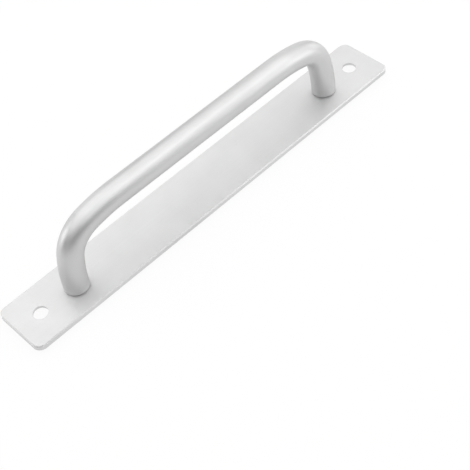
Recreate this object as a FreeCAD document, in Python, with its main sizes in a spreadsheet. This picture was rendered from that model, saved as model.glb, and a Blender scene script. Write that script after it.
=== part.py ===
import FreeCAD, Part
import math
import os
import Sketcher

# Pull handle for a sliding door: a round bar bent to a D, on a flat fixing plate.
# Two screws from behind hold the bar. Two countersunk holes take the screws that hold the plate.
# Millimetres. X runs along the plate, +Y is the plate's upper long edge and +Z points out of the door.
# The origin lies on the plate's back face, halfway between the two fixing holes.

Vector = FreeCAD.Vector

# How a sketch constraint names the ends and centre of a line or circle, and the sketch's own axes
START, END, CENTRE = 1, 2, 3
X_LINE, Y_LINE = -1, -2

# Edges closer to a height or a line than this lie on it
TOUCH = 1e-6

SHEET = "Sizes"

# From the middle of the handle to the axis of a fixing hole, and to the axis of a foot and its screw
FIXING_REACH = "Sizes.plate_length / 2 - Sizes.end_margin"
FOOT_REACH = FIXING_REACH + " - Sizes.foot_inset"

# name, value, meaning
SIZES = (
    ("plate_length", 226.0, "long side of the plate"),
    ("plate_width", 30.0, "short side of the plate"),
    ("plate_thickness", 3.0, "flat bar stock"),
    ("corner_radius", 4.0, "rounded corners of the plate"),
    ("edge_break", 0.5, "chamfer along both faces of the plate"),
    ("end_margin", 13.0, "from the plate's end to the axis of its fixing hole"),
    ("fixing_bore", 7.0, "through hole for a door screw"),
    ("fixing_rim", 10.4, "mouth of the countersink on the back"),
    ("countersink_angle", 90.0, "full angle of the countersink, in degrees"),
    ("foot_inset", 20.0, "from the axis of a fixing hole to the axis of the foot beside it"),
    ("bar_diameter", 12.0, "round bar"),
    ("bar_height", 34.8, "axis of the grip above the plate's front face"),
    ("bend_radius", 17.0, "axis of the bar in the middle of both bends"),
    ("ease_radius", 70.0, "axis of the bar at both ends of each bend, where it springs back a little"),
    ("ease_angle", 14.0, "turn of the bar in each of those ends, in degrees"),
    ("bar_offset", 1.0, "line of the bar below the line of the fixing holes"),
    ("foot_break", 0.8, "chamfer around the end of each foot"),
    ("screw_diameter", 5.0, "outside of the screw's thread"),
    ("screw_length", 12.0, "screw below its head"),
    ("tip_break", 0.7, "chamfer on the screw's tip"),
    ("head_diameter", 9.5, "pan head"),
    ("head_height", 2.6, "pan head at its middle"),
    ("crown_radius", 45.0, "crown of the head"),
    ("head_round", 0.6, "rounding of the head's rim"),
    ("recess_span", 4.9, "cross recess from wing tip to wing tip, at its mouth"),
    ("recess_floor_span", 2.8, "cross recess from wing tip to wing tip, at its floor"),
    ("wing_width", 1.2, "one wing of the recess, at its mouth"),
    ("wing_floor_width", 0.7, "one wing of the recess, at its floor"),
    ("recess_depth", 2.0, "cross recess from the head's middle"),
    ("recess_core", 2.3, "mouth of the cone for the driver's point"),
    ("thread_play", 0.1, "tapped hole over the screw, on the diameter"),
    ("shank_play", 0.5, "plate's hole over the screw, on the diameter"),
    ("tap_run_out", 2.0, "tapped hole beyond the screw's tip"),
)


# The sheet

def make_sheet(doc):
    """Table of the driving dimensions. Column B holds the values under their names."""
    sheet = doc.addObject("Spreadsheet::Sheet", SHEET)
    for row, (name, value, meaning) in enumerate(SIZES, start=1):
        sheet.set("A%d" % row, name)
        sheet.set("B%d" % row, str(value))
        sheet.set("C%d" % row, meaning)
        sheet.setAlias("B%d" % row, name)
    doc.recompute()


def reading(expression):
    """Present value of an expression on the sheet."""
    return float(FreeCAD.ActiveDocument.getObject(SHEET).evalExpression(expression))


# Sketches

def origin_feature(body, role):
    """Origin plane or axis of a body."""
    return next(feature for feature in body.Origin.OriginFeatures if feature.Role == role)


def make_sketch(body, name, plane, height=None):
    """Sketch on an origin plane of its body, moved along the plane's normal by an expression."""
    sketch = body.newObject("Sketcher::SketchObject", name)
    sketch.AttachmentSupport = (origin_feature(body, plane), [""])
    sketch.MapMode = "FlatFace"
    if height is not None:
        sketch.setExpression("AttachmentOffset.Base.z", height)
    return sketch


def tie(sketch, kind, *elements):
    """Geometric constraint."""
    sketch.addConstraint(Sketcher.Constraint(kind, *elements))


def dimension(sketch, name, kind, elements, expression):
    """Named dimension that follows an expression on the sheet."""
    value = reading(expression)
    if kind == "Angle":
        value = math.radians(value)
    index = sketch.addConstraint(Sketcher.Constraint(kind, *elements, value))
    sketch.renameConstraint(index, name)
    sketch.setExpression("Constraints." + name, expression)


def add_line(sketch, start, end):
    """Straight line between two points of the sketch."""
    return sketch.addGeometry(Part.LineSegment(Vector(*start, 0), Vector(*end, 0)), False)


def add_arc(sketch, centre, radius, start, end):
    """Arc of a circle, counterclockwise between two angles in degrees."""
    circle = Part.Circle(Vector(*centre, 0), Vector(0, 0, 1), radius)
    return sketch.addGeometry(Part.ArcOfCircle(circle, math.radians(start), math.radians(end)), False)


def add_circle(sketch, centre, radius):
    """Full circle."""
    return sketch.addGeometry(Part.Circle(Vector(*centre, 0), Vector(0, 0, 1), radius), False)


def rectangle(sketch, low, high):
    """Upright rectangle between two corners. Returns its lower, right, upper and left line."""
    corners = [low, (high[0], low[1]), high, (low[0], high[1])]
    lines = [add_line(sketch, corners[k], corners[(k + 1) % 4]) for k in range(4)]
    for k, way in enumerate(("Horizontal", "Vertical", "Horizontal", "Vertical")):
        tie(sketch, way, lines[k])
        tie(sketch, "Coincident", lines[k], END, lines[(k + 1) % 4], START)
    return lines


def twin_circles(sketch, reach, diameter, drop=None):
    """Two equal circles, mirrored about the vertical axis. They lie on the horizontal axis or below it."""
    side = reading(reach)
    level = 0 if drop is None else -reading(drop)
    left = add_circle(sketch, (-side, level), reading(diameter) / 2)
    right = add_circle(sketch, (side, level), reading(diameter) / 2)
    tie(sketch, "Symmetric", left, CENTRE, right, CENTRE, Y_LINE)
    tie(sketch, "Equal", left, right)
    dimension(sketch, "reach", "DistanceX", (left, CENTRE, X_LINE, START), reach)
    dimension(sketch, "diameter", "Diameter", (left,), diameter)
    if drop is None:
        tie(sketch, "PointOnObject", left, CENTRE, X_LINE)
    else:
        dimension(sketch, "drop", "DistanceY", (left, CENTRE, X_LINE, START), drop)


# Features

def edges_where(feature, wanted):
    """Names of the feature's edges that pass a test."""
    return ["Edge%d" % k for k, edge in enumerate(feature.Shape.Edges, start=1) if wanted(edge)]


def lies_at(edge, height):
    """True for an edge that lies at one height all along."""
    box = edge.BoundBox
    return abs(box.ZMin - height) < TOUCH and abs(box.ZMax - height) < TOUCH


def is_upright(edge):
    """True for a straight edge along Z."""
    box = edge.BoundBox
    return box.XLength < TOUCH and box.YLength < TOUCH


def finish_edges(body, kind, name, base, edges, size, expression):
    """Fillet or chamfer on edges of the feature before it."""
    feature = body.newObject(kind, name)
    feature.Base = (base, edges)
    feature.setExpression(size, expression)
    body.Document.recompute()
    return feature


def turn(body, kind, name, profile):
    """Full turn of a half section about the sketch's vertical axis."""
    body.Document.recompute()
    feature = body.newObject(kind, name)
    feature.Profile = profile
    feature.ReferenceAxis = (profile, ["V_Axis"])
    feature.Angle = 360
    body.Document.recompute()


def drill(body, name, centres, diameter, depth=None):
    """Holes towards +Z at the circles of a sketch, right through or to a depth with a drill's point."""
    body.Document.recompute()
    hole = body.newObject("PartDesign::Hole", name)
    hole.Profile = centres
    hole.Reversed = True
    hole.setExpression("Diameter", diameter)
    if depth is None:
        hole.DepthType = "ThroughAll"
    else:
        hole.DepthType = "Dimension"
        hole.DrillPoint = "Angled"
        hole.setExpression("Depth", depth)
    return hole


# Mounting plate

def make_plate(doc):
    """Flat plate with rounded corners, countersunk fixing holes and a hole behind each foot of the bar."""
    body = doc.addObject("PartDesign::Body", "mounting_plate")
    half_length = reading("Sizes.plate_length") / 2
    half_width = reading("Sizes.plate_width") / 2

    outline = make_sketch(body, "PlateOutline", "XY_Plane")
    lower, right, upper, left = rectangle(outline, (-half_length, -half_width), (half_length, half_width))
    tie(outline, "Symmetric", lower, START, upper, START, X_LINE, START)
    dimension(outline, "length", "DistanceX", (lower, START, lower, END), "Sizes.plate_length")
    dimension(outline, "width", "DistanceY", (right, START, right, END), "Sizes.plate_width")
    blank = body.newObject("PartDesign::Pad", "PlateBlank")
    blank.Profile = outline
    blank.setExpression("Length", "Sizes.plate_thickness")
    doc.recompute()

    rounded = finish_edges(body, "PartDesign::Fillet", "Corners", blank,
                           edges_where(blank, is_upright), "Radius", "Sizes.corner_radius")
    front = reading("Sizes.plate_thickness")
    rims = edges_where(rounded, lambda edge: lies_at(edge, 0) or lies_at(edge, front))
    finish_edges(body, "PartDesign::Chamfer", "BrokenEdges", rounded, rims, "Size", "Sizes.edge_break")

    fixing_centres = make_sketch(body, "FixingCentres", "XY_Plane")
    twin_circles(fixing_centres, FIXING_REACH, "Sizes.fixing_bore")
    fixing = drill(body, "FixingHoles", fixing_centres, "Sizes.fixing_bore")
    fixing.HoleCutType = "Countersink"
    fixing.HoleCutCustomValues = True
    fixing.setExpression("HoleCutDiameter", "Sizes.fixing_rim")
    fixing.setExpression("HoleCutCountersinkAngle", "Sizes.countersink_angle")

    shank_hole = "Sizes.screw_diameter + Sizes.shank_play"
    foot_centres = make_sketch(body, "FootCentres", "XY_Plane")
    twin_circles(foot_centres, FOOT_REACH, shank_hole, "Sizes.bar_offset")
    drill(body, "FootScrewHoles", foot_centres, shank_hole)
    doc.recompute()
    return body


# Grip bar

def bend_start():
    """End of the straight grip: its distance from the middle of the handle, and its height."""
    tight = reading("Sizes.bend_radius")
    wide = reading("Sizes.ease_radius")
    ease = math.radians(reading("Sizes.ease_angle"))
    reach = wide - (wide - tight) * (math.cos(ease) - math.sin(ease))
    height = reading("Sizes.bar_height")
    if reach >= height:
        raise ValueError("the bends are taller than the bar")
    return reading(FOOT_REACH) - reach, height


def draw_bend(path, side, grip, leg):
    """Three arcs between the grip and a leg: wide, tight, wide. side is -1 for the left, 1 for the right."""
    tight = reading("Sizes.bend_radius")
    wide = reading("Sizes.ease_radius")
    ease = reading("Sizes.ease_angle")
    foot = reading(FOOT_REACH)
    shoulder, height = bend_start()
    middle_x = shoulder + (wide - tight) * math.sin(math.radians(ease))
    middle_z = height - wide + (wide - tight) * math.cos(math.radians(ease))

    arcs = []
    for x, z, radius, start, end in ((shoulder, height - wide, wide, 90 - ease, 90),
                                     (middle_x, middle_z, tight, ease, 90 - ease),
                                     (foot - wide, height - (foot - shoulder), wide, 0, ease)):
        if side < 0:
            start, end = 180 - end, 180 - start
        arcs.append(add_arc(path, (side * x, z), radius, start, end))
    upper, middle, lower = arcs
    grip_end, near, far = (START, START, END) if side < 0 else (END, END, START)
    tie(path, "Tangent", grip, grip_end, upper, near)
    tie(path, "Tangent", upper, far, middle, near)
    tie(path, "Tangent", middle, far, lower, near)
    tie(path, "Tangent", lower, far, leg, END)
    return arcs


def draw_bar_axis(body):
    """Axis of the bar: up the left leg, round the bend, along the grip, round the other bend and down."""
    path = make_sketch(body, "BarAxis", "XZ_Plane")
    foot = reading(FOOT_REACH)
    shoulder, height = bend_start()
    leg_top = height - (foot - shoulder)
    left_leg = add_line(path, (-foot, 0), (-foot, leg_top))
    grip = add_line(path, (-shoulder, height), (shoulder, height))
    right_leg = add_line(path, (foot, 0), (foot, leg_top))
    left_upper, left_middle, left_lower = draw_bend(path, -1, grip, left_leg)
    right_upper, right_middle, right_lower = draw_bend(path, 1, grip, right_leg)

    tie(path, "Vertical", left_leg)
    tie(path, "Horizontal", grip)
    tie(path, "Vertical", right_leg)
    tie(path, "Equal", left_middle, right_middle)
    for arc in (left_lower, right_upper, right_lower):
        tie(path, "Equal", left_upper, arc)
    tie(path, "PointOnObject", left_leg, START, X_LINE)
    tie(path, "Symmetric", left_leg, START, right_leg, START, Y_LINE)
    dimension(path, "foot", "DistanceX", (left_leg, START, X_LINE, START), FOOT_REACH)
    dimension(path, "height", "DistanceY", (left_leg, START, grip, START), "Sizes.bar_height")
    dimension(path, "bend", "Radius", (left_middle,), "Sizes.bend_radius")
    dimension(path, "ease", "Radius", (left_upper,), "Sizes.ease_radius")
    for k, arc in enumerate((left_upper, left_lower, right_upper, right_lower), start=1):
        dimension(path, "ease_turn_%d" % k, "Angle", (arc,), "Sizes.ease_angle")
    return path


def make_bar(doc):
    """Round bar bent to a D, with a blind tapped hole in each foot. Its feet stand on the plate's front."""
    body = doc.addObject("PartDesign::Body", "grip_bar")
    path = draw_bar_axis(body)

    section = make_sketch(body, "BarSection", "XY_Plane")
    circle = add_circle(section, (-reading(FOOT_REACH), 0), reading("Sizes.bar_diameter") / 2)
    tie(section, "PointOnObject", circle, CENTRE, X_LINE)
    dimension(section, "foot", "DistanceX", (circle, CENTRE, X_LINE, START), FOOT_REACH)
    dimension(section, "diameter", "Diameter", (circle,), "Sizes.bar_diameter")
    doc.recompute()

    bent = body.newObject("PartDesign::AdditivePipe", "BentBar")
    bent.Profile = section
    bent.Spine = path
    doc.recompute()
    rims = edges_where(bent, lambda edge: lies_at(edge, 0))
    finish_edges(body, "PartDesign::Chamfer", "FootEdges", bent, rims, "Size", "Sizes.foot_break")

    tapped_hole = "Sizes.screw_diameter + Sizes.thread_play"
    tap_centres = make_sketch(body, "TapCentres", "XY_Plane")
    twin_circles(tap_centres, FOOT_REACH, tapped_hole)
    drill(body, "TappedHoles", tap_centres, tapped_hole,
          "Sizes.screw_length - Sizes.plate_thickness + Sizes.tap_run_out")

    body.setExpression("Placement.Base.y", "-Sizes.bar_offset")
    body.setExpression("Placement.Base.z", "Sizes.plate_thickness")
    doc.recompute()
    return body


# Foot screws

def draw_screw_half(body):
    """Half section of a screw. Its head's bearing face is at zero, with the shank above."""
    half = make_sketch(body, "ScrewHalf", "XZ_Plane")
    head = reading("Sizes.head_diameter") / 2
    shank = reading("Sizes.screw_diameter") / 2
    length = reading("Sizes.screw_length")
    bevel = reading("Sizes.tip_break")
    middle = -reading("Sizes.head_height")
    crown_radius = reading("Sizes.crown_radius")
    rounding = reading("Sizes.head_round")
    slant = math.asin((head - rounding) / (crown_radius - rounding))
    rim = middle + crown_radius - (crown_radius - rounding) * math.cos(slant)
    crown_end = 270 + math.degrees(slant)

    crown = add_arc(half, (0, middle + crown_radius), crown_radius, 270, crown_end)
    corner = add_arc(half, (head - rounding, rim), rounding, crown_end, 360)
    side = add_line(half, (head, rim), (head, 0))
    seat = add_line(half, (head, 0), (shank, 0))
    thread = add_line(half, (shank, 0), (shank, length - bevel))
    tip_bevel = add_line(half, (shank, length - bevel), (shank - bevel, length))
    tip = add_line(half, (shank - bevel, length), (0, length))
    axis = add_line(half, (0, length), (0, middle))

    ring = [side, seat, thread, tip_bevel, tip, axis]
    for line, after in zip(ring, ring[1:] + [crown]):
        tie(half, "Coincident", line, END, after, START)
    tie(half, "Tangent", crown, END, corner, START)
    tie(half, "Tangent", corner, END, side, START)
    tie(half, "PointOnObject", crown, CENTRE, Y_LINE)
    for line in (side, thread, axis):
        tie(half, "Vertical", line)
    for line in (seat, tip):
        tie(half, "Horizontal", line)
    tie(half, "PointOnObject", seat, START, X_LINE)
    tie(half, "PointOnObject", axis, START, Y_LINE)
    dimension(half, "head", "DistanceX", (X_LINE, START, seat, START), "Sizes.head_diameter / 2")
    dimension(half, "middle", "DistanceY", (axis, END, X_LINE, START), "Sizes.head_height")
    dimension(half, "crown", "Radius", (crown,), "Sizes.crown_radius")
    dimension(half, "rounding", "Radius", (corner,), "Sizes.head_round")
    dimension(half, "shank", "DistanceX", (X_LINE, START, thread, START), "Sizes.screw_diameter / 2")
    dimension(half, "length", "DistanceY", (thread, START, tip, START), "Sizes.screw_length")
    dimension(half, "bevel_rise", "DistanceY", (tip_bevel, START, tip_bevel, END), "Sizes.tip_break")
    dimension(half, "bevel_run", "DistanceX", (tip_bevel, END, tip_bevel, START), "Sizes.tip_break")
    return half


def cut_recess_core(body):
    """Cone at the middle of the recess, for the driver's point."""
    cone = make_sketch(body, "CoreHalf", "XZ_Plane")
    radius = reading("Sizes.recess_core") / 2
    mouth = -reading("Sizes.head_height")
    point = mouth + reading("Sizes.recess_depth")
    slope = add_line(cone, (radius, mouth), (0, point))
    axis = add_line(cone, (0, point), (0, mouth))
    rim = add_line(cone, (0, mouth), (radius, mouth))
    for line, after in ((slope, axis), (axis, rim), (rim, slope)):
        tie(cone, "Coincident", line, END, after, START)
    tie(cone, "Vertical", axis)
    tie(cone, "Horizontal", rim)
    tie(cone, "PointOnObject", axis, START, Y_LINE)
    dimension(cone, "radius", "DistanceX", (rim, START, rim, END), "Sizes.recess_core / 2")
    dimension(cone, "mouth", "DistanceY", (axis, END, X_LINE, START), "Sizes.head_height")
    dimension(cone, "depth", "DistanceY", (axis, END, axis, START), "Sizes.recess_depth")
    turn(body, "PartDesign::Groove", "RecessCore", cone)


def draw_wing(body, name, height, span, width):
    """Rectangle from the screw's axis to the tip of one wing, at one depth of the recess."""
    outline = make_sketch(body, name, "XY_Plane", height)
    half_width = reading(width) / 2
    lower, right, upper, left = rectangle(outline, (0, -half_width), (reading(span) / 2, half_width))
    tie(outline, "Symmetric", lower, START, upper, END, X_LINE, START)
    dimension(outline, "reach", "DistanceX", (lower, START, lower, END), span + " / 2")
    dimension(outline, "width", "DistanceY", (right, START, right, END), width)
    return outline


def cut_recess_wings(body):
    """One tapered wing of the cross recess, repeated four times around the axis."""
    doc = body.Document
    mouth = draw_wing(body, "WingMouth", "-Sizes.head_height", "Sizes.recess_span", "Sizes.wing_width")
    floor = draw_wing(body, "WingFloor", "Sizes.recess_depth - Sizes.head_height",
                      "Sizes.recess_floor_span", "Sizes.wing_floor_width")
    doc.recompute()
    wing = body.newObject("PartDesign::SubtractiveLoft", "RecessWing")
    wing.Profile = mouth
    wing.Sections = [floor]
    wing.Ruled = True
    doc.recompute()
    cross = body.newObject("PartDesign::PolarPattern", "CrossRecess")
    cross.Originals = [wing]
    cross.Axis = (origin_feature(body, "Z_Axis"), [""])
    cross.Angle = 360
    cross.Occurrences = 4
    body.Tip = cross
    doc.recompute()


def make_foot_screw(doc, name, side):
    """Pan head screw with its head on the plate's back. side is -1 for the left and 1 for the right."""
    body = doc.addObject("PartDesign::Body", name)
    turn(body, "PartDesign::Revolution", "TurnedScrew", draw_screw_half(body))
    cut_recess_core(body)
    cut_recess_wings(body)
    body.setExpression("Placement.Base.x", "%d * (%s)" % (side, FOOT_REACH))
    body.setExpression("Placement.Base.y", "-Sizes.bar_offset")
    doc.recompute()
    return body


# Checks and files

def check_document(doc):
    """Stops if a feature failed or a sketch can still move."""
    for item in doc.Objects:
        if "Invalid" in item.State or "Error" in item.State:
            raise RuntimeError("%s failed: %s" % (item.Name, item.State))
        if item.TypeId == "Sketcher::SketchObject" and not item.FullyConstrained:
            raise RuntimeError("%s isn't fully constrained" % item.Name)


def check_solid(body):
    """Stops unless the body is one valid solid."""
    shape = body.Shape
    if shape.isNull() or not shape.isValid() or len(shape.Solids) != 1:
        raise RuntimeError("%s isn't one valid solid" % body.Label)


def report(body):
    """Prints the body's volume and true box."""
    box = body.Shape.optimalBoundingBox()
    print("%s: %.1f mm3, X %.2f to %.2f, Y %.2f to %.2f, Z %.2f to %.2f" % (
        body.Label, body.Shape.Volume, box.XMin, box.XMax, box.YMin, box.YMax, box.ZMin, box.ZMax))


def main():
    doc = FreeCAD.newDocument("SlidingDoorHandle")
    make_sheet(doc)
    bodies = [make_plate(doc), make_bar(doc)]
    for name, side in (("foot_screw_left", -1), ("foot_screw_right", 1)):
        bodies.append(make_foot_screw(doc, name, side))
    check_document(doc)
    for body in bodies:
        check_solid(body)
    os.makedirs("parts", exist_ok=True)
    for body in bodies:
        report(body)
        body.Shape.exportStep(os.path.join("parts", body.Label + ".step"))


main()
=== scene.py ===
# %% [markdown]
# # A sliding door handle, dressed in satin aluminium
#
# The handle is a round bar bent to a D, held on a flat plate by two screws from
# behind. Its solids were drawn in CAD and come in as a fixed frame, in metres:
# +Z points out of the door, +X runs along the plate. This script gives them
# their surfaces. The plate keeps its CAD mesh. The bar and the two screws are
# grown again by Geometry Nodes, rounder and with their thread, in the same place.

# %% Load the measured parts
import math

import bpy
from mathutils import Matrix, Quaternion, Vector


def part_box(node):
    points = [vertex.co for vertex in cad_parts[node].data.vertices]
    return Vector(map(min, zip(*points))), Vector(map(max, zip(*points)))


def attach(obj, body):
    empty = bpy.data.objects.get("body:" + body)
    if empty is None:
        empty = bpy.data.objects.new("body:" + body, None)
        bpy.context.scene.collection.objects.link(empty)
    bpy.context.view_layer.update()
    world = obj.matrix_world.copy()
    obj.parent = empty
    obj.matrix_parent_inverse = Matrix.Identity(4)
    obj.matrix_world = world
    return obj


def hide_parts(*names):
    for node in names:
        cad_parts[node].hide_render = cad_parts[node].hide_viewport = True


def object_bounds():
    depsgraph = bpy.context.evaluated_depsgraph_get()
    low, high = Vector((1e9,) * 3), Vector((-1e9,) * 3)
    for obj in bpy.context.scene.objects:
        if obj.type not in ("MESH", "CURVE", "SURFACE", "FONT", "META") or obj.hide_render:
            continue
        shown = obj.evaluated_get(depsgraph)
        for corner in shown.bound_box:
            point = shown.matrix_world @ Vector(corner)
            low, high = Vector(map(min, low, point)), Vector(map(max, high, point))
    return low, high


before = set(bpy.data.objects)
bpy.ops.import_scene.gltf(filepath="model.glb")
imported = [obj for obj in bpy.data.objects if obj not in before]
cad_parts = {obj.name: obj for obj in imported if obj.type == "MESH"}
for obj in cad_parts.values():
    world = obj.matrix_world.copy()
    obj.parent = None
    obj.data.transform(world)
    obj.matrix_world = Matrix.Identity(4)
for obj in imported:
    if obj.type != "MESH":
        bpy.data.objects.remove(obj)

MM = 0.001
cad_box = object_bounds()
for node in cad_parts:
    low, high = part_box(node)
    print(node, [round(side / MM, 2) for side in high - low], "mm")

# %% [markdown]
# ## Four small helpers
#
# Colours are written as the hex values that a colour picker shows, and shaders
# work in linear light, so one function converts them. One function adds a node
# of any kind: what it is given for an input is either a value or a socket to
# link from. One works out a sum in nodes, and one puts a new object in the scene.

# %% Helpers for colours, nodes and objects
def linear(hex_colour):
    """The linear RGBA of an sRGB colour such as "#c8c8c8"."""
    shares = [int(hex_colour[i:i + 2], 16) / 255 for i in (1, 3, 5)]
    return [s / 12.92 if s <= 0.04045 else ((s + 0.055) / 1.055) ** 2.4 for s in shares] + [1]


def add_node(tree, kind, inputs=None, **settings):
    """Adds a node with its settings, and sets or links each input that is given, by name or number."""
    node = tree.nodes.new(kind)
    for name, value in settings.items():
        setattr(node, name, value)
    for name, value in (inputs or {}).items():
        sources = value if isinstance(value, list) else [value]
        if isinstance(sources[0], bpy.types.NodeSocket):
            for source in sources:
                tree.links.new(source, node.inputs[name])
        else:
            node.inputs[name].default_value = value
    return node


def work_out(tree, operation, *values):
    """The result of one maths node. Its values are numbers or sockets."""
    return add_node(tree, "ShaderNodeMath", dict(enumerate(values)), operation=operation).outputs[0]


def put_in_scene(name, data):
    """A new object at the origin, in the scene."""
    thing = bpy.data.objects.new(name, data)
    bpy.context.scene.collection.objects.link(thing)
    return thing


# %% [markdown]
# ## The camera
#
# The photograph looks down on the handle at about fifty degrees, from its left
# end and from below the door's middle, with the camera tilted so that the
# plate climbs to the right. A long lens about half a metre away keeps the plate's
# sides nearly parallel. Place, aim, tilt and lens come from matching the
# plate's corners and the outlines of plate and bar.

# %% Place the camera
EYE = Vector((-206.259, -290.054, 383.843)) * MM
TARGET = Vector((-22.66, -45.155, 19.79)) * MM
TILT = math.radians(-9.8867)
LENS = 84.9889       # mm
SENSOR_WIDTH = 36.0  # mm
NEAREST_SHOWN = 10.0 * MM

camera = put_in_scene("camera", bpy.data.cameras.new("camera"))
camera.data.lens = LENS
camera.data.sensor_width = SENSOR_WIDTH
camera.data.clip_start = NEAREST_SHOWN
camera.location = EYE
camera.rotation_mode = "QUATERNION"
aim = (TARGET - EYE).to_track_quat("-Z", "Y")
camera.rotation_quaternion = aim @ Quaternion((0, 0, 1), TILT)
bpy.context.scene.camera = camera
bpy.context.scene.view_settings.view_transform = "Standard"
print("camera is", round((TARGET - EYE).length, 4), "m from its target")

# %% [markdown]
# ## Studio: a white floor
#
# The handle lies on white paint, at the height of its screw heads. To the
# camera, and to the metal that mirrors it, the floor shows mostly plain white.
# The rest is its lit paint, so the handle still has a faint shadow on it.

# %% Lay the floor
FLOOR_REACH = 3.0  # m, from the middle to each side
FLOOR_PAINT = "#ebebeb"
FLOOR_SHOWN_WHITE = 0.93

floor_height = cad_box[0].z
floor_mesh = bpy.data.meshes.new("floor")
corners = [(x * FLOOR_REACH, y * FLOOR_REACH, floor_height) for x, y in ((-1, -1), (1, -1), (1, 1), (-1, 1))]
floor_mesh.from_pydata(corners, [], [(0, 1, 2, 3)])
floor = put_in_scene("floor", floor_mesh)

paint = bpy.data.materials.new("white_floor_paint")
paint.use_nodes = True
tree = paint.node_tree
tree.nodes.clear()
rays = add_node(tree, "ShaderNodeLightPath").outputs
seen = work_out(tree, "MAXIMUM", rays["Is Camera Ray"], rays["Is Glossy Ray"])
shown = work_out(tree, "MAXIMUM", seen, rays["Is Transmission Ray"])
share = work_out(tree, "MULTIPLY", shown, FLOOR_SHOWN_WHITE)
lit = add_node(tree, "ShaderNodeBsdfDiffuse", {"Color": linear(FLOOR_PAINT)})
white = add_node(tree, "ShaderNodeEmission", {"Color": linear("#ffffff"), "Strength": 1.0})
blend = add_node(tree, "ShaderNodeMixShader", {0: share, 1: lit.outputs[0], 2: white.outputs[0]})
add_node(tree, "ShaderNodeOutputMaterial", {"Surface": blend.outputs[0]})
floor_mesh.materials.append(paint)
print("floor at", round(floor_height / MM, 2), "mm")

# %% [markdown]
# ## Studio: a tent of softboxes
#
# Satin metal shows little of itself and much of the room, so the room is what
# has to be right. The photograph's must have been a light tent: bright overhead,
# brightest low on the camera's left and right, and dark round the opening that
# the camera looks through. Here fourteen softboxes stand on a dome round the
# handle, and a dim sky fills the gaps. Their brightness is given as radiance,
# where 1 is white paper in plain light, because radiance is what metal mirrors.

# %% Hang the lights
SKY_GREY = "#8f8f8f"
DOME_RADIUS = 1.1  # m
SOFTBOXES = {
    # row: (elevation in degrees, width and height in metres, {azimuth in degrees from +X to +Y: radiance})
    "overhead": (90, 0.7, 0.7, {90: 1.4}),
    "raised": (50, 0.7, 0.7, {0: 0.95, 45: 0.75, 90: 1.1, 135: 0.8, 180: 1.0, 225: 0.5, 270: 0.9, 315: 1.3}),
    "low": (15, 0.7, 0.5, {0: 1.5, 45: 0.95, 90: 0.95, 135: 1.9, 315: 2.15}),
}

sky = bpy.data.worlds.new("dim_tent")
sky.use_nodes = True
sky.node_tree.nodes["Background"].inputs["Color"].default_value = linear(SKY_GREY)
bpy.context.scene.world = sky


def on_dome(azimuth, elevation):
    """The place on the dome in a direction given in degrees."""
    turn, rise = math.radians(azimuth), math.radians(elevation)
    level = math.cos(rise)
    return Vector((math.cos(turn) * level, math.sin(turn) * level, math.sin(rise))) * DOME_RADIUS


for row, (elevation, width, height, radiances) in SOFTBOXES.items():
    for azimuth, radiance in radiances.items():
        softbox = bpy.data.lights.new("softbox_%s_%03d" % (row, azimuth), "AREA")
        softbox.shape = "RECTANGLE"
        softbox.size, softbox.size_y = width, height
        softbox.energy = radiance * math.pi * width * height
        hung = put_in_scene(softbox.name, softbox)
        hung.location = on_dome(azimuth, elevation)
        hung.rotation_mode = "QUATERNION"
        hung.rotation_quaternion = (-hung.location).to_track_quat("-Z", "Y")
        hung.visible_camera = False
    print(row, "row:", len(radiances), "softboxes")

# %% [markdown]
# ## Metal and its marks
#
# Every metal here is told apart by marks much finer than the piece: dents,
# lines, mottling. Each is a noise texture with a size in millimetres, and it
# drives a small change of tone, of roughness or of height. A noise keeps mostly
# between 0.3 and 0.7, so that middle range is what gets spread out.

# %% Helpers for the metals
NOISE_LOW, NOISE_HIGH = 0.3, 0.7


def start_metal(name):
    """A bare metal: its material, its tree, and the Principled shader that it shows."""
    material = bpy.data.materials.new(name)
    material.use_nodes = True
    tree = material.node_tree
    tree.nodes.clear()
    shader = add_node(tree, "ShaderNodeBsdfPrincipled", {"Metallic": 1.0})
    add_node(tree, "ShaderNodeOutputMaterial", {"Surface": shader.outputs[0]})
    return material, tree, shader


def in_millimetres(tree):
    """The object's own coordinates, in mm."""
    spot = add_node(tree, "ShaderNodeTexCoord").outputs["Object"]
    per_millimetre = (1 / MM, 1 / MM, 1 / MM)
    return add_node(tree, "ShaderNodeMapping", {"Vector": spot, "Scale": per_millimetre}).outputs[0]


def marks(tree, place, size, detail):
    """A noise whose largest marks have the given size, in the units of the place."""
    noise = add_node(tree, "ShaderNodeTexNoise", {"Vector": place, "Scale": 1 / size, "Detail": detail})
    return noise.outputs[0]


def spread(tree, pattern, low, high):
    """The middle range of a noise, spread out from low to high."""
    return add_node(tree, "ShaderNodeMapRange", {
        "Value": pattern, "From Min": NOISE_LOW, "From Max": NOISE_HIGH,
        "To Min": low, "To Max": high}).outputs[0]


def tint(tree, shader, factor, tones):
    """A base colour between two tones."""
    first, second = (linear(tone) for tone in tones)
    colour = add_node(tree, "ShaderNodeMix", {0: factor, 6: first, 7: second}, data_type="RGBA")
    tree.links.new(colour.outputs[2], shader.inputs["Base Color"])


def roughen(tree, shader, pattern, roughness, range_each_way):
    """A roughness that follows a noise."""
    gloss = spread(tree, pattern, roughness - range_each_way, roughness + range_each_way)
    tree.links.new(gloss, shader.inputs["Roughness"])


# %% [markdown]
# ## Satin anodised aluminium
#
# Plate and bar are extruded aluminium. Extruding leaves faint lines along the
# length, from the die. Beads are then blown at the surface, which covers it
# with shallow dents a tenth of a millimetre wide, and anodising adds a clear
# hard skin. What the eye gets is a soft, pale grey metal: broad highlights
# without sharp mirror images, hardly any grain, and the die lines only just there.
#
# All of these marks read one position in millimetres whose X runs along the
# extrusion: the object's own coordinates on the flat plate, and on the bent bar
# two attributes, written when it is swept.

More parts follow.
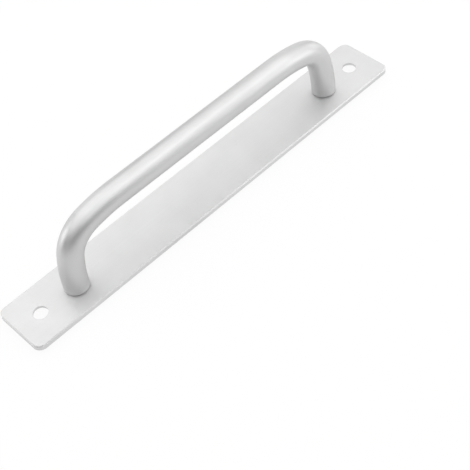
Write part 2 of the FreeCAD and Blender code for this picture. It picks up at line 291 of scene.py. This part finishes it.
# %% Make the aluminium
BEAD_DENT = 0.45  # mm; real dents are about 0.1 mm, too fine for this picture
DENT_RELIEF, DENT_STRENGTH = 0.02, 0.5  # mm, share
DIE_LINE = 0.7    # mm across one line
DIE_RUN = 90.0    # mm along one line
LINE_RELIEF, LINE_STRENGTH = 0.01, 0.25  # mm, share
CLOUD = 14.0      # mm, the slow change of tone over an anodised surface
GLOSS_RANGE = 0.02
PLATE_TONES, PLATE_ROUGHNESS = ("#d8d8d8", "#dcdcdc"), 0.58
BAR_TONES, BAR_ROUGHNESS = ("#cccccc", "#d0d0d0"), 0.45


def satin_anodise(tree, shader, place, tones, roughness):
    """Bead dents, die lines and clouds on a surface whose place is given in mm, X along the extrusion."""
    dents = marks(tree, place, BEAD_DENT, detail=3.0)
    along_die = (1 / DIE_RUN, 1 / DIE_LINE, 1 / DIE_LINE)
    stretched = add_node(tree, "ShaderNodeMapping", {"Vector": place, "Scale": along_die}).outputs[0]
    lines = marks(tree, stretched, 1.0, detail=2.0)
    clouds = marks(tree, place, CLOUD, detail=2.0)

    tint(tree, shader, spread(tree, clouds, 0.0, 1.0), tones)
    roughen(tree, shader, lines, roughness, GLOSS_RANGE)
    ridges = add_node(tree, "ShaderNodeBump", {"Height": lines, "Strength": LINE_STRENGTH,
                                               "Distance": LINE_RELIEF * MM})
    grain = add_node(tree, "ShaderNodeBump", {"Height": dents, "Strength": DENT_STRENGTH,
                                              "Distance": DENT_RELIEF * MM, "Normal": ridges.outputs[0]})
    tree.links.new(grain.outputs[0], shader.inputs["Normal"])


plate_aluminium, tree, shader = start_metal("satin_anodised_aluminium_plate")
satin_anodise(tree, shader, in_millimetres(tree), PLATE_TONES, PLATE_ROUGHNESS)

bar_aluminium, tree, shader = start_metal("satin_anodised_aluminium_bar")
along = add_node(tree, "ShaderNodeAttribute", attribute_name="along").outputs["Fac"]
around = add_node(tree, "ShaderNodeAttribute", attribute_name="around").outputs["Vector"]
section = add_node(tree, "ShaderNodeSeparateXYZ", {0: around}).outputs
unbent = add_node(tree, "ShaderNodeCombineXYZ", {0: along, 1: section[0], 2: section[1]}).outputs[0]
satin_anodise(tree, shader, unbent, BAR_TONES, BAR_ROUGHNESS)
print("aluminium:", plate_aluminium.name, "and", bar_aluminium.name)

# %% [markdown]
# ## Bright zinc on the screws
#
# The two screws are steel wire, cold headed, rolled and zinc plated. Zinc is a
# little cooler in tone and glossier than the blasted aluminium, with a fine
# mottling from the bath.

# %% Make the zinc plated steel
MOTTLE = 0.8  # mm
ZINC_TONES, ZINC_ROUGHNESS, ZINC_GLOSS_RANGE = ("#dadcde", "#e7e8e9"), 0.3, 0.04
ZINC_RELIEF, ZINC_STRENGTH = 0.01, 0.2  # mm, share

zinc, tree, shader = start_metal("bright_zinc_plated_steel")
mottling = marks(tree, in_millimetres(tree), MOTTLE, detail=3.0)
tint(tree, shader, mottling, ZINC_TONES)
roughen(tree, shader, mottling, ZINC_ROUGHNESS, ZINC_GLOSS_RANGE)
skin = add_node(tree, "ShaderNodeBump", {"Height": mottling, "Strength": ZINC_STRENGTH,
                                         "Distance": ZINC_RELIEF * MM})
tree.links.new(skin.outputs[0], shader.inputs["Normal"])
print("screws:", zinc.name)

# %% [markdown]
# ## The mounting plate
#
# A length of flat bar, sawn, drilled, countersunk from behind and broken along
# all its edges. The CAD mesh already has all of that, so it stays, and only
# its material slot changes.

# %% Dress the plate
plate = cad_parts["mounting_plate"]
for slot in plate.material_slots:
    slot.material = plate_aluminium
print("mounting_plate keeps", len(plate.data.polygons), "faces")

# %% [markdown]
# ## Growing a piece with Geometry Nodes
#
# A bent bar and a screw both follow rules: sweep a section along a line, turn
# an outline round an axis, repeat a hole at each end. A node tree states the
# rule once, and the sizes stay open as its inputs. The trees work in
# millimetres, as the drawing does, and change to metres just before the
# material goes on. Some helpers shorten what both trees do: moving a shape,
# joining shapes, and cutting them out of each other. Of the others, one opens
# a tree, one closes it, and one runs it and keeps the plain mesh.

# %% Helpers that move, join and cut shapes
def moved(tree, shape, **how):
    """The shape after a transform, which is given as Translation, Rotation or Scale."""
    return add_node(tree, "GeometryNodeTransform", {"Geometry": shape, **how}).outputs[0]


def upwards(tree, height):
    """A vector of the given height."""
    return add_node(tree, "ShaderNodeCombineXYZ", {"Z": height}).outputs[0]


def joined(tree, *shapes):
    """One closed shape out of several that overlap."""
    return add_node(tree, "GeometryNodeMeshBoolean", {1: list(shapes)},
                    operation="UNION", solver="MANIFOLD").outputs[0]


def cut(tree, shape, *tools):
    """The shape without what the tools take out of it."""
    return add_node(tree, "GeometryNodeMeshBoolean", {0: shape, 1: list(tools)},
                    operation="DIFFERENCE", solver="MANIFOLD").outputs[0]


# %% Helpers that open, close and run a tree
CREASE = 30  # degrees between two faces, from which their edge is drawn sharp


def open_tree(name, sizes):
    """A tree that takes an outline, sizes, a place and a material: itself, and its inputs by name."""
    tree = bpy.data.node_groups.new(name, "GeometryNodeTree")
    tree.interface.new_socket("Outline", in_out="INPUT", socket_type="NodeSocketGeometry")
    for size in sizes:
        tree.interface.new_socket(size, in_out="INPUT", socket_type="NodeSocketFloat")
    tree.interface.new_socket("Place", in_out="INPUT", socket_type="NodeSocketVector")
    tree.interface.new_socket("Material", in_out="INPUT", socket_type="NodeSocketMaterial")
    tree.interface.new_socket("Piece", in_out="OUTPUT", socket_type="NodeSocketGeometry")
    return tree, add_node(tree, "NodeGroupInput").outputs


def close_tree(tree, given, shape):
    """Smooth shading with creases, the change from mm to metres, the material and the output."""
    smooth = add_node(tree, "GeometryNodeSetShadeSmooth", {"Geometry": shape}, domain="FACE").outputs[0]
    turn = add_node(tree, "GeometryNodeInputMeshEdgeAngle").outputs["Unsigned Angle"]
    sharp = add_node(tree, "FunctionNodeCompare", {0: turn, 1: math.radians(CREASE)},
                     operation="GREATER_THAN").outputs[0]
    creased = add_node(tree, "GeometryNodeSetShadeSmooth",
                       {"Geometry": smooth, "Selection": sharp, "Shade Smooth": False},
                       domain="EDGE").outputs[0]
    placed = moved(tree, creased, Translation=given["Place"])
    metres = moved(tree, placed, Scale=(MM, MM, MM))
    whole = add_node(tree, "GeometryNodeRealizeInstances", {"Geometry": metres}).outputs[0]
    dressed = add_node(tree, "GeometryNodeSetMaterial", {"Geometry": whole, "Material": given["Material"]})
    add_node(tree, "NodeGroupOutput", {"Piece": dressed.outputs[0]})


def chain(name, points):
    """A mesh of edges only, from each (x, y, z) point in mm to the next."""
    mesh = bpy.data.meshes.new(name)
    mesh.from_pydata(points, [(i, i + 1) for i in range(len(points) - 1)], [])
    return mesh


def grow(name, tree, outline, values):
    """Runs the tree on an outline, with its inputs set by name, and keeps the result as a plain mesh."""
    piece = put_in_scene(name, outline)
    rule = piece.modifiers.new("rule", "NODES")
    rule.node_group = tree
    for socket in tree.interface.items_tree:
        if socket.name in values:
            rule[socket.identifier] = values[socket.name]
    seen = bpy.context.evaluated_depsgraph_get()
    grown = bpy.data.meshes.new_from_object(piece.evaluated_get(seen), preserve_all_data_layers=True,
                                            depsgraph=seen)
    piece.modifiers.remove(rule)
    piece.data = grown
    print(name, "has", sum(len(face.vertices) - 2 for face in grown.polygons), "triangles")
    return piece


# %% [markdown]
# ## The grip bar
#
# A 12 mm round bar, bent cold round a former at both shoulders. The section
# stays round and the run between is straight. The metal springs back a little
# where each bend begins and ends, so a bend is tight in its middle and wide at
# both ends: three arcs. The foot ends are faced, a small break is turned on
# them, and each is drilled for its screw. How high the grip stands and how far
# apart the feet are is read from the CAD bar.

# %% Measure the bar
BAR_DIAMETER = 12.0  # mm; the faceted CAD mesh is a little thinner than its round bar
BEND_RADIUS = 17.0
EASE_RADIUS = 70.0
EASE_ANGLE = math.radians(14)
FOOT_BREAK = 0.8
TAP_DIAMETER = 5.1
TAP_DEPTH = 11.0
DRILL_POINT = 118    # degrees

bar_low, bar_high = (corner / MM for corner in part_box("grip_bar"))
foot_x = bar_high.x - BAR_DIAMETER / 2
foot_y = (bar_high.y + bar_low.y) / 2
foot_z = bar_low.z
grip_z = bar_high.z - BAR_DIAMETER / 2
print("bar: feet at x", round(foot_x, 3), "y", round(foot_y, 3), "axis of the grip at z", round(grip_z, 3))

# %% [markdown]
# ## Sweeping the bar
#
# It could be a beveled curve. Sweeping a circle along a rounded line in nodes
# does more: the tree also writes, on every point, how far along the bar it is
# and where round it, so the die lines follow the bends. The first and last
# ring of the sweep are drawn in, which makes the break on the feet.

# %% Sweep a circle along the line
BEND_STEPS = 16
ROUND_STEPS = 96
BAR_WELD = 0.001  # mm

bar_tree, given = open_tree("bent_bar", ["Bar Diameter", "Foot Break", "Tap Diameter", "Tap Depth"])
line = add_node(bar_tree, "GeometryNodeMeshToCurve", {"Mesh": given["Outline"]}).outputs[0]
corner_radius = add_node(bar_tree, "GeometryNodeInputNamedAttribute", {"Name": "bend_radius"},
                         data_type="FLOAT").outputs[0]
bent = add_node(bar_tree, "GeometryNodeFilletCurve",
                {"Curve": line, "Count": BEND_STEPS, "Radius": corner_radius, "Limit Radius": False},
                mode="POLY").outputs[0]
run = add_node(bar_tree, "GeometryNodeSplineParameter").outputs["Length"]
measured = add_node(bar_tree, "GeometryNodeStoreNamedAttribute",
                    {"Geometry": bent, "Name": "along", "Value": run},
                    data_type="FLOAT", domain="POINT").outputs[0]

radius = work_out(bar_tree, "DIVIDE", given["Bar Diameter"], 2.0)
circle = add_node(bar_tree, "GeometryNodeCurvePrimitiveCircle",
                  {"Resolution": ROUND_STEPS, "Radius": radius}).outputs[0]
where = add_node(bar_tree, "GeometryNodeInputPosition").outputs[0]
section = add_node(bar_tree, "GeometryNodeStoreNamedAttribute",
                   {"Geometry": circle, "Name": "around", "Value": where},
                   data_type="FLOAT_VECTOR", domain="POINT").outputs[0]

ends = add_node(bar_tree, "GeometryNodeCurveEndpointSelection", {"Start Size": 1, "End Size": 1}).outputs[0]
drawn_in = work_out(bar_tree, "SUBTRACT", radius, given["Foot Break"])
end_scale = work_out(bar_tree, "DIVIDE", drawn_in, radius)
scale = add_node(bar_tree, "GeometryNodeSwitch", {"Switch": ends, "False": 1.0, "True": end_scale},
                 input_type="FLOAT").outputs[0]
swept = add_node(bar_tree, "GeometryNodeCurveToMesh", {"Curve": measured, "Profile Curve": section,
                                                       "Scale": scale, "Fill Caps": True}).outputs[0]
weld = add_node(bar_tree, "GeometryNodeMergeByDistance", {"Geometry": swept, "Distance": BAR_WELD})
welded = weld.outputs[0]

# %% [markdown]
# ## Drilling the feet
#
# A twist drill leaves a straight hole with a 118 degree point. The drill is
# drawn once, a cylinder joined to a cone, set at both ends of the line and cut
# out of the bar. It starts a little below the foot, so that it comes through
# the end face cleanly.

# %% Drill both feet
BELOW_FOOT = 1.0      # mm
POINT_OVERLAP = 0.01  # mm that the point reaches into the straight part, so that the two join
HOLE_SIDES = 64

drill_radius = work_out(bar_tree, "DIVIDE", given["Tap Diameter"], 2.0)
drill_length = work_out(bar_tree, "ADD", given["Tap Depth"], BELOW_FOOT)
body = add_node(bar_tree, "GeometryNodeMeshCylinder",
                {"Vertices": HOLE_SIDES, "Radius": drill_radius, "Depth": drill_length}).outputs[0]
middle = work_out(bar_tree, "MULTIPLY_ADD", drill_length, 0.5, -BELOW_FOOT)
shank = moved(bar_tree, body, Translation=upwards(bar_tree, middle))

point_height = work_out(bar_tree, "DIVIDE", drill_radius, math.tan(math.radians(DRILL_POINT / 2)))
point = add_node(bar_tree, "GeometryNodeMeshCone",
                 {"Vertices": HOLE_SIDES, "Radius Bottom": drill_radius, "Depth": point_height}).outputs[0]
top = work_out(bar_tree, "SUBTRACT", given["Tap Depth"], POINT_OVERLAP)
tip = moved(bar_tree, point, Translation=upwards(bar_tree, top))

drills = add_node(bar_tree, "GeometryNodeInstanceOnPoints",
                  {"Points": line, "Selection": ends, "Instance": joined(bar_tree, shank, tip)}).outputs[0]
holes = add_node(bar_tree, "GeometryNodeRealizeInstances", {"Geometry": drills}).outputs[0]
close_tree(bar_tree, given, cut(bar_tree, welded, holes))

# %% [markdown]
# ## The bar's line
#
# The tree rounds each corner of a plain line by the radius that its point
# carries. Half the line goes up one leg, over the three corners of the bend and
# towards the middle. Mirrored, it gives the other half. The corners stand where
# the arcs' tangents meet: a tight arc turns what its two eased neighbours leave
# of the right angle.

# %% Lay out the line and grow the bar
side_length = EASE_RADIUS * math.tan(EASE_ANGLE / 2) + BEND_RADIUS * math.tan(math.pi / 4 - EASE_ANGLE)
across, upright = side_length * math.sin(EASE_ANGLE), side_length * math.cos(EASE_ANGLE)
leg_top = grip_z - across - upright
half_line = [
    # (x, z, radius of the corner)
    (foot_x, foot_z, 0),
    (foot_x, foot_z + FOOT_BREAK, 0),
    (foot_x, leg_top, EASE_RADIUS),
    (foot_x - across, leg_top + upright, BEND_RADIUS),
    (foot_x - across - upright, grip_z, EASE_RADIUS),
]
full_line = [(-x, z, r) for x, z, r in half_line] + half_line[::-1]
bar_line = chain("bar_line", [(x, foot_y, z) for x, z, r in full_line])
corner_radii = bar_line.attributes.new("bend_radius", "FLOAT", "POINT")
corner_radii.data.foreach_set("value", [r for x, z, r in full_line])
grip = grow("grip_bar_satin", bar_tree, bar_line, {
    "Bar Diameter": BAR_DIAMETER, "Foot Break": FOOT_BREAK,
    "Tap Diameter": TAP_DIAMETER, "Tap Depth": TAP_DEPTH,
    "Place": (0.0, 0.0, 0.0), "Material": bar_aluminium})

# %% [markdown]
# ## The foot screws
#
# Two M5 x 12 pan head screws with a cross recess hold the bar from behind. The
# head is a low crown with a rounded rim. Its outline is drawn as one half, from
# the middle of the crown round the rim to the tip, as pairs of a distance from
# the axis and a height from the head's seat.

# %% Draw the screw's half outline
HEAD_HEIGHT = 2.6
CROWN_RADIUS = 45.0
HEAD_ROUND = 0.6
ARC_STEPS = 10
SCREW_LENGTH = 12.0
THREAD_DIAMETER = 5.0
THREAD_PITCH = 0.8
THREAD_HEIGHT = 0.6134 * THREAD_PITCH  # the depth of a metric thread on a screw
THREAD_START, THREAD_END = 0.9, 11.6
NECK_END = 0.4   # mm, where the full shank under the head starts to narrow
TIP_BREAK = 0.7

head_low, head_high = (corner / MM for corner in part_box("foot_screw_left"))
head_radius = (head_high.x - head_low.x) / 2
shank_radius = THREAD_DIAMETER / 2
root_radius = shank_radius - THREAD_HEIGHT
tip_radius = shank_radius - TIP_BREAK


def arc(centre, radius, start, end):
    """Points of an arc as (distance from the axis, height), angles in degrees."""
    angles = [math.radians(start + (end - start) * i / ARC_STEPS) for i in range(ARC_STEPS + 1)]
    return [(centre[0] + radius * math.cos(a), centre[1] + radius * math.sin(a)) for a in angles]


crown_centre_z = CROWN_RADIUS - HEAD_HEIGHT
rim_centre_x = head_radius - HEAD_ROUND
rim_centre_z = crown_centre_z - math.sqrt((CROWN_RADIUS - HEAD_ROUND) ** 2 - rim_centre_x ** 2)
lean = math.degrees(math.asin(rim_centre_x / (CROWN_RADIUS - HEAD_ROUND)))
outline = arc((0, crown_centre_z), CROWN_RADIUS, -90, -90 + lean)
outline += arc((rim_centre_x, rim_centre_z), HEAD_ROUND, -90 + lean, 0)[1:]
outline += [(head_radius, 0), (shank_radius, 0), (shank_radius, NECK_END), (root_radius, THREAD_START)]
tip_start = SCREW_LENGTH - (root_radius - tip_radius)
outline += [(root_radius, tip_start), (tip_radius, SCREW_LENGTH), (0, SCREW_LENGTH)]
print("screw outline has", len(outline), "points")

# %% [markdown]
# ## Turning the blank and rolling its thread
#
# A real screw is headed and then rolled: the rolling pushes a helical ridge out
# of the shank. The tree does it in that order. It turns the half outline round
# the axis, by sweeping it round a circle so small that welding closes it to a
# point. That leaves the faces looking inwards, so they are flipped. Then it
# sweeps the ridge's section along a helix, and joins the two.

# %% Turn the blank
SCREW_SIDES = 96
SPINDLE_RADIUS = 0.001  # mm
SCREW_WELD = 0.005      # mm

screw_tree, given = open_tree("cross_recess_screw", [
    "Root Radius", "Thread Pitch", "Thread Height", "Thread Length",
    "Punch Start", "Punch Height", "Wing Span", "Wing Width", "Wing Taper", "Core Radius"])
half = add_node(screw_tree, "GeometryNodeMeshToCurve", {"Mesh": given["Outline"]}).outputs[0]
spindle = add_node(screw_tree, "GeometryNodeCurvePrimitiveCircle",
                   {"Resolution": SCREW_SIDES, "Radius": SPINDLE_RADIUS}).outputs[0]
turned = add_node(screw_tree, "GeometryNodeCurveToMesh",
                  {"Curve": spindle, "Profile Curve": half}).outputs[0]
closed = add_node(screw_tree, "GeometryNodeMergeByDistance", {"Geometry": turned, "Distance": SCREW_WELD})
blank = add_node(screw_tree, "GeometryNodeFlipFaces", {"Mesh": closed.outputs[0]}).outputs[0]

# %% Roll the thread
FLANK_ANGLE = math.radians(30)
THREAD_CREST = THREAD_PITCH / 8
THREAD_BASE = THREAD_CREST + 2 * THREAD_HEIGHT * math.tan(FLANK_ANGLE)
HELIX_STEPS = 48  # in one turn
SINK = 0.05       # mm that the ridge starts below the shank's skin, so that the two join

turns = work_out(screw_tree, "DIVIDE", given["Thread Length"], given["Thread Pitch"])
helix = add_node(screw_tree, "GeometryNodeCurveSpiral", {
    "Resolution": HELIX_STEPS, "Rotations": turns, "Start Radius": given["Root Radius"],
    "End Radius": given["Root Radius"], "Height": given["Thread Length"], "Reverse": True}).outputs[0]
upright_helix = add_node(screw_tree, "GeometryNodeSetCurveNormal", {"Curve": helix}, mode="Z_UP").outputs[0]
ridge_height = work_out(screw_tree, "ADD", given["Thread Height"], SINK)
ridge = add_node(screw_tree, "GeometryNodeCurvePrimitiveQuadrilateral", {
    "Bottom Width": THREAD_BASE, "Top Width": THREAD_CREST, "Height": ridge_height, "Offset": 0.0},
    mode="TRAPEZOID").outputs[0]
outwards = work_out(screw_tree, "MULTIPLY_ADD", ridge_height, 0.5, -SINK)
reach = add_node(screw_tree, "ShaderNodeCombineXYZ", {"X": outwards}).outputs[0]
flanks = moved(screw_tree, ridge, Translation=reach, Rotation=(0.0, 0.0, -math.pi / 2))
thread = add_node(screw_tree, "GeometryNodeCurveToMesh", {"Curve": upright_helix, "Profile Curve": flanks,
                                                          "Fill Caps": True}).outputs[0]
rolled = joined(screw_tree, blank, moved(screw_tree, thread, Translation=(0.0, 0.0, THREAD_START)))

# %% [markdown]
# ## Punching the cross recess
#
# The punch has two crossed wings that taper towards its end, and a cone in the
# middle. Each is a cone node that starts outside the crown, so the recess
# opens cleanly: four sides, set square and stretched, make a wing.

# %% Punch the recess
RECESS_SPAN, RECESS_FLOOR_SPAN = 4.9, 2.8
WING_WIDTH = 1.2
RECESS_DEPTH = 2.0
RECESS_CORE = 2.3
PAST_CROWN = 0.4  # mm that the punch stands out of the head
CORE_SIDES = 48
HALF_DIAGONAL = math.sqrt(0.5)  # of a square with sides of 1

base = upwards(screw_tree, given["Punch Start"])
corner = work_out(screw_tree, "MULTIPLY", given["Wing Taper"], HALF_DIAGONAL)
stem = add_node(screw_tree, "GeometryNodeMeshCone", {
    "Vertices": 4, "Radius Bottom": HALF_DIAGONAL, "Radius Top": corner,
    "Depth": given["Punch Height"]}).outputs[0]
square = moved(screw_tree, stem, Rotation=(0.0, 0.0, math.pi / 4))
blade = add_node(screw_tree, "ShaderNodeCombineXYZ", {
    "X": given["Wing Span"], "Y": given["Wing Width"], "Z": 1.0}).outputs[0]
wing = moved(screw_tree, square, Translation=base, Scale=blade)
crossed = moved(screw_tree, wing, Rotation=(0.0, 0.0, math.pi / 2))
cone = add_node(screw_tree, "GeometryNodeMeshCone", {
    "Vertices": CORE_SIDES, "Radius Bottom": given["Core Radius"],
    "Depth": given["Punch Height"]}).outputs[0]
core = moved(screw_tree, cone, Translation=base)
close_tree(screw_tree, given, cut(screw_tree, rolled, wing, crossed, core))

# %% [markdown]
# ## Two screws from one tree
#
# Both screws are the same, one under each foot, so a loop grows them. The
# recess is dimensioned at the crown. The punch is wider where it stands out
# of the head, by the same taper.

# %% Grow both screws
draft = (RECESS_SPAN - RECESS_FLOOR_SPAN) / RECESS_DEPTH
mouth_span = RECESS_SPAN + draft * PAST_CROWN
screw_sizes = {
    "Root Radius": root_radius, "Thread Pitch": THREAD_PITCH, "Thread Height": THREAD_HEIGHT,
    "Thread Length": THREAD_END - THREAD_START,
    "Punch Start": -HEAD_HEIGHT - PAST_CROWN, "Punch Height": RECESS_DEPTH + PAST_CROWN,
    "Wing Span": mouth_span, "Wing Width": WING_WIDTH * mouth_span / RECESS_SPAN,
    "Wing Taper": RECESS_FLOOR_SPAN / mouth_span,
    "Core Radius": RECESS_CORE / 2 * (RECESS_DEPTH + PAST_CROWN) / RECESS_DEPTH,
    "Material": zinc,
}
screws = []
for side, node in ((-1, "foot_screw_left"), (1, "foot_screw_right")):
    half_outline = chain("half_outline", [(r, -z, 0) for r, z in outline])
    sizes_and_place = {**screw_sizes, "Place": (side * foot_x, foot_y, 0.0)}
    screw = grow(node + "_threaded", screw_tree, half_outline, sizes_and_place)
    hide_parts(node)
    screws.append(screw)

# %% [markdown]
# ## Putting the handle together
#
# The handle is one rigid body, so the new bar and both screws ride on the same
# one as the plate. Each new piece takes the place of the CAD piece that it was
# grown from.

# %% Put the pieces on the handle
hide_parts("grip_bar")
for piece in (grip, *screws):
    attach(piece, "root")
